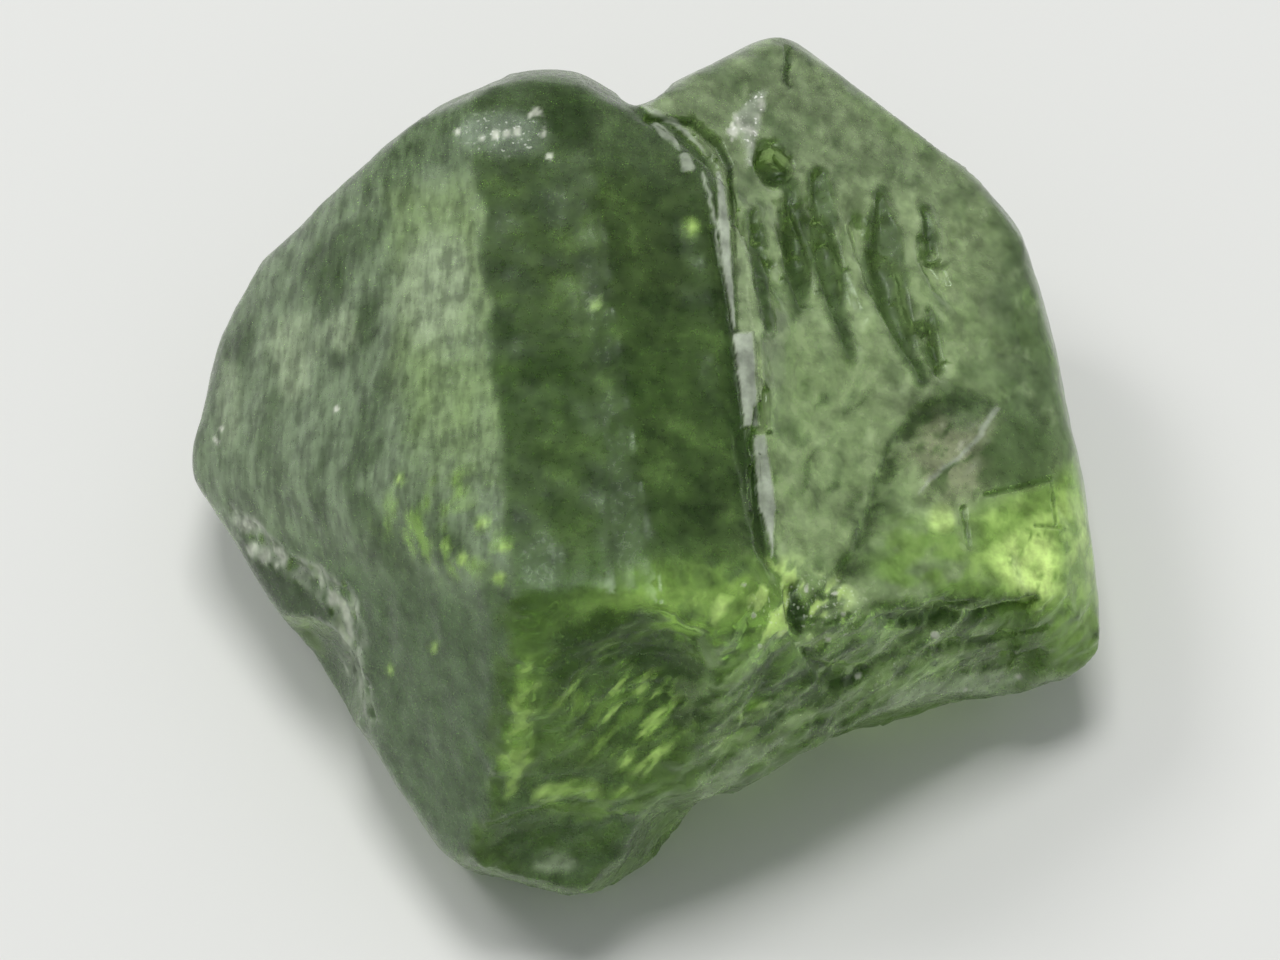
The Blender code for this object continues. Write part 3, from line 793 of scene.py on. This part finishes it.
def coat_scoop(coat, loose, shards, clouds, flecks):
    """Painted shade on the left crystal's foot and scoop above it, painted light on streaks and chips."""
    wisps = rough_noise(slanted(coat.points, 48.0), (0.60, 0.09, 0.3), 3, seed=129)
    coat.lay_patch(LEFT_FOOT, "left_low", 0.85)
    coat.lay_patch(LEFT_FOOT_SHADE, "scoop", within=smooth_step(-0.1, 0.6, clouds + 0.5 * shards))
    coat.lay_patch(SCOOP, "scoop", 0.9)
    coat.lay_strokes(loose, SCOOP_SHADE, (-0.18, 0.12), "darkest_shade", 0.85)
    streaky = patch(coat.points, *SCOOP_FLOOR) * smooth_step(0.00, 0.40, wisps)
    coat.lay(streaky, "lit_green", 0.9)
    coat.lay(streaky * smooth_step(0.25, 0.7, wisps), "glow", 0.6)
    coat.lay_strokes(loose, SCOOP_STREAKS, (-0.05, 0.05), "lit_green", 0.45)
    coat.lay_strokes(loose, BRIGHT_STRIP, (-0.10, 0.06), "lit_green", 0.8)
    coat.lay_strokes(loose, BRIGHT_STRIP, (-0.10, 0.06), "glow", 0.35, within=flecks)
    coat.lay_strokes(loose, BRIGHT_CHIPS, (-0.10, 0.08), "lit_green", 0.75)
    coat.lay_strokes(loose, BRIGHT_CHIPS, (-0.10, 0.08), "glow", 0.5, within=flecks)
    coat.lay_patch(GREEN_UNDER_SCOOP, "lit_green", 0.45, within=flecks)


def coat_splinters(coat, loose, shards, flecks):
    """Painted light and shade on the splintered break and its ledges, and the pale bevels of the feet."""
    splintered = np.clip(sum(patch(coat.points, *place) for place in SPLINTERED), 0.0, 1.0)
    coat.lay(splintered * smooth_step(-0.10, 0.35, shards), "darkest_shade", 0.85)
    coat.lay(splintered * smooth_step(0.25, 0.65, -shards), "lit_pale_green", 0.6)
    coat.lay(splintered * smooth_step(0.55, 0.95, flecks), "lit_pale_green", 0.35)
    coat.lay_strokes(loose, DARK_BELOW_SEAM, (-0.10, 0.08), "darkest_shade", 0.7)
    coat.lay_strokes(loose, END_LEDGES, (-0.12, 0.10), "darkest_shade", within=smooth_step(-0.9, 0.0, shards))
    coat.lay_strokes(loose, DIAGONAL, (-0.22, 0.10), "darkest_shade", 0.8, within=smooth_step(-0.9, 0.1, shards))
    coat.lay_strokes(coat.points, SEAM_END_PIT, (-0.03, 0.05), "darkest_shade", 0.95)
    coat.lay_strokes(loose, FOOT_BEVELS, (-0.12, 0.06), "bevel", 0.75)


def coat_feather(coat, loose):
    """The brownish feather of a cleavage crack, painted shade in the corner by it and the fine steps below."""
    points = coat.points
    feather = patch(points, *FEATHER)
    barbs = rough_noise(slanted(points, 42.0), (0.50, 0.10, 0.3), 3, seed=127)
    coat.lay(feather, "brownish", 0.9)
    coat.lay(feather * smooth_step(0.0, 0.5, barbs), "pit_shade", 0.85)
    coat.lay(feather * smooth_step(0.35, 0.8, -barbs), "bruise_and_glint", 0.35)
    coat.lay_patch(FEATHER_TOP, "right_side", 0.7)
    coat.lay_strokes(loose, FEATHER_SHADE, (-0.16, 0.10), "darkest_shade", 0.75)
    above_step = smooth_step(-0.16, 0.02, points[:, 1] - 0.24 * (points[:, 0] - 4.72) + 0.21)
    coat.lay_patch(CORNER_SHADE, "pit_shade", 0.9, within=above_step)
    coat.lay_strokes(points, CLEAVAGE_STEPS, (-0.02, 0.03), "pit_shade", 0.6)


def coat_seam_end(coat):
    """Painted glow on clear shards round the seam's end, painted shade in its pit, and painted glints near
    them.
    """
    points = coat.points
    shards = rough_noise(slanted(points, 55.0), (0.42, 0.17, 0.3), 3, seed=139)
    coat.lay_patch(CLEAR_SHARDS, "glow", 0.75, within=smooth_step(0.15, 0.55, shards))
    coat.lay_strokes(points, SEAM_END_PIT, (0.02, 0.10), "darkest_shade", 0.95)
    coat.add_painted_glints(patch(points, *SEAM_END_GLINTS), 0.4)
    coat.add_painted_glints(patch(points, *FOOT_GLINTS), 0.3)


def coat_near_end(coat):
    """Both crystals' near ends, where they are broken, in painted light and shade."""
    points = coat.points
    loose = ragged(points, 0.10, 0.25, seed=121)
    shards = rough_noise(slanted(points, 20.0), (0.45, 0.16, 0.3), 3, seed=123)
    clouds = rough_noise(points, (0.9, 0.7, 0.8), 3, seed=125)
    flecks = smooth_step(-0.35, 0.35, rough_noise(slanted(points, 30.0), (0.30, 0.13, 0.3), 3, seed=143))
    coat_lit_end(coat, shards, clouds)
    coat_scoop(coat, loose, shards, clouds, flecks)
    coat_splinters(coat, loose, shards, flecks)
    coat_feather(coat, loose)
    coat_seam_end(coat)


def coat_bruises(coat):
    """Pale bruised edges along the seam and lower left, painted shade in the groove, painted light spots,
    glints.
    """
    points = coat.points
    loose = ragged(points, 0.03, 0.15, seed=131)
    coat.lay_strokes(loose, DARK_BESIDE_SEAM, (-0.05, 0.08), "darkest_shade", 0.85)
    coat.lay_strokes(loose, CLEAR_WEDGE, (-0.02, 0.05), "lit_pale_green", 0.9)
    coat.lay_strokes(points, DARK_SEAM, (-0.02, 0.03), "darkest_shade", 0.9)
    coat.lay_strokes(loose, DARK_LUMP, (-0.05, 0.05), "darkest_shade", 0.8)
    coat.lay(smooth_step(-0.015, 0.02, ledges(points)), "pale_ledge")
    coat.lay_strokes(loose, PALE_THREADS, (-0.02, 0.03), "pale_ledge", 0.9)
    crushed = smooth_step(-0.04, 0.05, strokes(loose, BRUISED_WEDGE))
    crumbs = rough_noise(points, 0.13, 2, seed=137)
    coat.lay(crushed, "pale_ledge", 0.8)
    coat.lay(crushed * smooth_step(-0.2, 0.5, crumbs), "bruise_and_glint", 0.9)
    coat.add_painted_glints(crushed)
    chips = smooth_step(-0.12, 0.02, strokes(ragged(points, 0.09, 0.2, seed=133), LEFT_CHIPS))
    crushed_edge = rough_noise(points, 0.2, 2, seed=135)
    coat.lay(chips * smooth_step(-0.9, 0.1, crushed_edge), "pale_ledge", 0.7)
    coat.lay(chips * smooth_step(-0.1, 0.6, crushed_edge), "bruise_and_glint", 0.6)
    coat.lay_strokes(loose, FEATHER_LINE, (-0.02, 0.03), "pale_ledge", 0.85)
    coat.lay(smooth_step(-0.06, 0.05, spots(loose, BRIGHT_DOTS)), "lit_green", 0.85)
    coat.lay(smooth_step(-0.01, 0.06, spots(loose, BRIGHT_DOTS)), "glow", 0.6)
    coat.lay(smooth_step(-0.02, 0.02, spots(loose, GLINTS)), "bruise_and_glint", 0.9)


def paint(stone):
    """Gives each point its colour, roughness and clearness, which the material reads."""
    mesh = stone.data
    points, normals = read_mesh(mesh)
    coat = Coat(points, faces_of(normals), "weathered")
    blotches = rough_noise(points, 0.8, 4, seed=97)
    coat.lay_all_round(smooth_step(0.1, 0.8, blotches), "left_dark", 0.6)
    coat.lay_all_round(smooth_step(0.1, 0.8, -blotches), "right_face", 0.5)
    coat_left_crystal(coat)
    coat_right_crystal(coat)
    coat_near_end(coat)
    coat_bruises(coat)
    # The tint holds painted light and shade as well as the stone's own colours.
    tint = mesh.attributes.new("stone_tint", "FLOAT_COLOR", "POINT")
    tint.data.foreach_set("color", np.column_stack((coat.colour, np.ones(len(points)))).ravel())
    values = {
        "stone_roughness": coat.rough,
        "stone_clearness": 1.0 - coat.solid,
        "stone_striae": coat.striae,
        "stone_painted_glints": coat.painted_glints,
    }
    for name, numbers in values.items():
        mesh.attributes.new(name, "FLOAT", "POINT").data.foreach_set("value", numbers)


class Recipe:
    """A material's shader nodes, added one after another."""

    def __init__(self, material):
        self.nodes = material.node_tree.nodes
        self.links = material.node_tree.links

    def plug(self, value, socket):
        """Links an output to an input, or sets the input to a plain value."""
        if isinstance(value, bpy.types.NodeSocket):
            self.links.new(value, socket)
        else:
            socket.default_value = value

    def attribute(self, name, output="Fac"):
        """A value that is kept at each point of the mesh."""
        node = self.nodes.new("ShaderNodeAttribute")
        node.attribute_name = name
        return node.outputs[output]

    def lumps(self, place, size, detail):
        """Noise whose largest lumps are of that size, in the units of the place."""
        node = self.nodes.new("ShaderNodeTexNoise")
        node.inputs["Scale"].default_value = 1.0 / size
        node.inputs["Detail"].default_value = detail
        node.inputs["Roughness"].default_value = LUMP_ROUGHNESS
        self.links.new(place, node.inputs["Vector"])
        return node.outputs["Fac"]

    def stretch(self, value, before, after):
        """Stretches a value from one range to another, and holds it inside."""
        node = self.nodes.new("ShaderNodeMapRange")
        node.inputs["From Min"].default_value = before[0]
        node.inputs["From Max"].default_value = before[1]
        node.inputs["To Min"].default_value = after[0]
        node.inputs["To Max"].default_value = after[1]
        self.links.new(value, node.inputs["Value"])
        return node.outputs["Result"]

    def calculate(self, operation, first, second):
        """Plain arithmetic."""
        node = self.nodes.new("ShaderNodeMath")
        node.operation = operation
        self.plug(first, node.inputs[0])
        self.plug(second, node.inputs[1])
        return node.outputs["Value"]

    def scaled(self, vector, amount):
        """A vector or colour times a number, or times three numbers."""
        node = self.nodes.new("ShaderNodeVectorMath")
        self.links.new(vector, node.inputs[0])
        if isinstance(amount, tuple):
            node.operation = "MULTIPLY"
            node.inputs[1].default_value = amount
        else:
            node.operation = "SCALE"
            self.plug(amount, node.inputs["Scale"])
        return node.outputs["Vector"]

    def blend(self, share, first, second):
        """The first colour where the share is 0 and the second where it is 1."""
        node = self.nodes.new("ShaderNodeMix")
        node.data_type = "RGBA"
        self.plug(share, node.inputs["Factor"])
        self.plug(first, node.inputs["A"])
        self.plug(second, node.inputs["B"])
        return node.outputs["Result"]

    def stone_place(self):
        """The place on the stone, in its own frame, in millimetres."""
        place = self.nodes.new("ShaderNodeTexCoord")
        turned = self.nodes.new("ShaderNodeVectorRotate")
        turned.rotation_type = "X_AXIS"
        turned.inputs["Angle"].default_value = math.radians(-LEAN_BACK)
        self.links.new(place.outputs["Object"], turned.inputs["Vector"])
        return self.scaled(turned.outputs["Vector"], 1.0 / MM)


def stone_tint(recipe, place, painted_glints):
    """The painted tint, darker and lighter in blotches and striae, with painted glints as pale sparks."""
    blotches = recipe.lumps(place, BLOTCH_SIZE, LUMP_DETAIL)
    striae = recipe.lumps(recipe.scaled(place, STRIA_SQUEEZE), STRIA_WIDTH, LUMP_DETAIL)
    striae = recipe.calculate("SUBTRACT", striae, 0.5)
    striae = recipe.calculate("MULTIPLY", recipe.attribute("stone_striae"), striae)
    shade = recipe.stretch(recipe.calculate("ADD", blotches, striae), BLOTCH_VALUES, BLOTCH_SHADES)
    tint = recipe.scaled(recipe.attribute("stone_tint", "Color"), shade)
    return recipe.blend(painted_glints, tint, GLINT_COLOUR)


def clear_stone():
    """The peridot's own material: clear and green inside, frosted here and there, with painted light and shade.
    """
    made = bpy.data.materials.new("peridot")
    made.use_nodes = True
    surface = made.node_tree.nodes["Principled BSDF"]
    recipe = Recipe(made)
    place = recipe.stone_place()

    # Painted glints: white sparks where the glints are laid.
    sparks = recipe.stretch(recipe.lumps(place, SPARK_SIZE, 1.0), SPARK_VALUES, SPARK_SHARES)
    painted_glints = recipe.calculate("MULTIPLY", sparks, recipe.attribute("stone_painted_glints"))
    recipe.plug(stone_tint(recipe, place, painted_glints), surface.inputs["Base Color"])

    grain = recipe.lumps(place, GRAIN_SIZE, LUMP_DETAIL)
    frost = recipe.stretch(grain, GRAIN_VALUES, GRAIN_ROUGHENING)
    roughness = recipe.calculate("MULTIPLY", recipe.attribute("stone_roughness"), frost)
    recipe.plug(roughness, surface.inputs["Roughness"])

    # The painted glints are made less clear, so that they show white.
    clouding = recipe.calculate("MULTIPLY", painted_glints, -SPARK_CLOUDING)
    unclouded = recipe.calculate("ADD", clouding, 1.0)
    clearness = recipe.calculate("MULTIPLY", recipe.attribute("stone_clearness"), unclouded)
    recipe.plug(clearness, surface.inputs["Transmission Weight"])

    bump = recipe.nodes.new("ShaderNodeBump")
    bump.inputs["Strength"].default_value = BUMP_STRENGTH
    bump.inputs["Distance"].default_value = BUMP_HEIGHT * MM
    recipe.plug(grain, bump.inputs["Height"])
    recipe.plug(bump.outputs["Normal"], surface.inputs["Normal"])

    surface.inputs["Metallic"].default_value = 0.0
    surface.inputs["IOR"].default_value = STONE_IOR
    surface.inputs["Specular Tint"].default_value = STONE_SHINE
    inside = recipe.nodes.new("ShaderNodeVolumeAbsorption")
    inside.inputs["Color"].default_value = INSIDE_COLOUR
    inside.inputs["Density"].default_value = INSIDE_DENSITY
    recipe.plug(inside.outputs["Volume"], recipe.nodes["Material Output"].inputs["Volume"])
    return made


def make_stone():
    """The one piece: both crystals, as fine as they need to be."""
    stone = fine_copy(NODE)
    refine(stone.data, needs_detail)
    refine(stone.data, needs_thin_lines)
    stone.data.transform(Matrix.Scale(MM, 4))
    stone.data.materials.clear()
    carve(stone)
    paint(stone)
    stone.data.materials.append(clear_stone())
    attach(stone, "root")
    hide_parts(NODE)


def make_floor():
    """A plain pale sheet."""
    bpy.ops.mesh.primitive_plane_add(size=SHEET_SIZE, location=(0.0, 0.0, -SHEET_DROP))
    floor = bpy.context.object
    floor.name = "floor"
    paper = bpy.data.materials.new("pale_sheet")
    paper.use_nodes = True
    surface = paper.node_tree.nodes["Principled BSDF"]
    surface.inputs["Base Color"].default_value = SHEET_COLOUR
    surface.inputs["Roughness"].default_value = 0.9
    surface.inputs["Specular IOR Level"].default_value = 0.2
    floor.data.materials.append(paper)


def add_light(name, heading, elevation, size, irradiance):
    """A square soft light that looks at the stone, as strong as it takes to light the sheet that much."""
    around, up = math.radians(heading), math.radians(elevation)
    toward = Vector((math.sin(around) * math.cos(up), math.cos(around) * math.cos(up), math.sin(up)))
    light = bpy.data.lights.new(name, "AREA")
    light.size = size
    light.energy = math.pi * irradiance * LIGHT_DISTANCE**2 / math.sin(up)
    light.color = LIGHT_COLOUR
    lamp = bpy.data.objects.new(name, light)
    bpy.context.scene.collection.objects.link(lamp)
    lamp.location = toward * LIGHT_DISTANCE
    lamp.rotation_euler = (-toward).to_track_quat("-Z", "Y").to_euler()


def light_scene():
    """Soft light, most of it from above, in a pale room, and how far it is followed through the stone."""
    for name, (heading, elevation, size, irradiance) in LIGHTS.items():
        add_light(name, heading, elevation, size, irradiance)
    world = bpy.data.worlds.new("pale_room")
    world.use_nodes = True
    sky = world.node_tree.nodes["Background"]
    sky.inputs["Color"].default_value = ROOM_COLOUR
    sky.inputs["Strength"].default_value = ROOM_LIGHT
    scene = bpy.context.scene
    scene.world = world
    scene.view_settings.view_transform = "Standard"
    scene.cycles.max_bounces = BOUNCES
    scene.cycles.transmission_bounces = BOUNCES
    scene.cycles.sample_clamp_indirect = BRIGHTEST_BOUNCE


def place_camera():
    """Looks down on the stone from the photograph's side, so that the frame is as wide as the photograph."""
    elevation = math.radians(VIEW_ELEVATION)
    back = Vector((0.0, -math.cos(elevation), math.sin(elevation)))
    camera = bpy.data.cameras.new("camera")
    camera.sensor_width = 36.0
    camera.lens = camera.sensor_width * VIEW_DISTANCE / VIEW_WIDTH
    camera.clip_start = NEAREST_SEEN
    holder = bpy.data.objects.new("camera", camera)
    bpy.context.scene.collection.objects.link(holder)
    holder.location = STONE_ORIGIN * MM + back * VIEW_DISTANCE
    holder.rotation_euler = (-back).to_track_quat("-Z", "Y").to_euler()
    bpy.context.scene.camera = holder


make_stone()
make_floor()
light_scene()
place_camera()
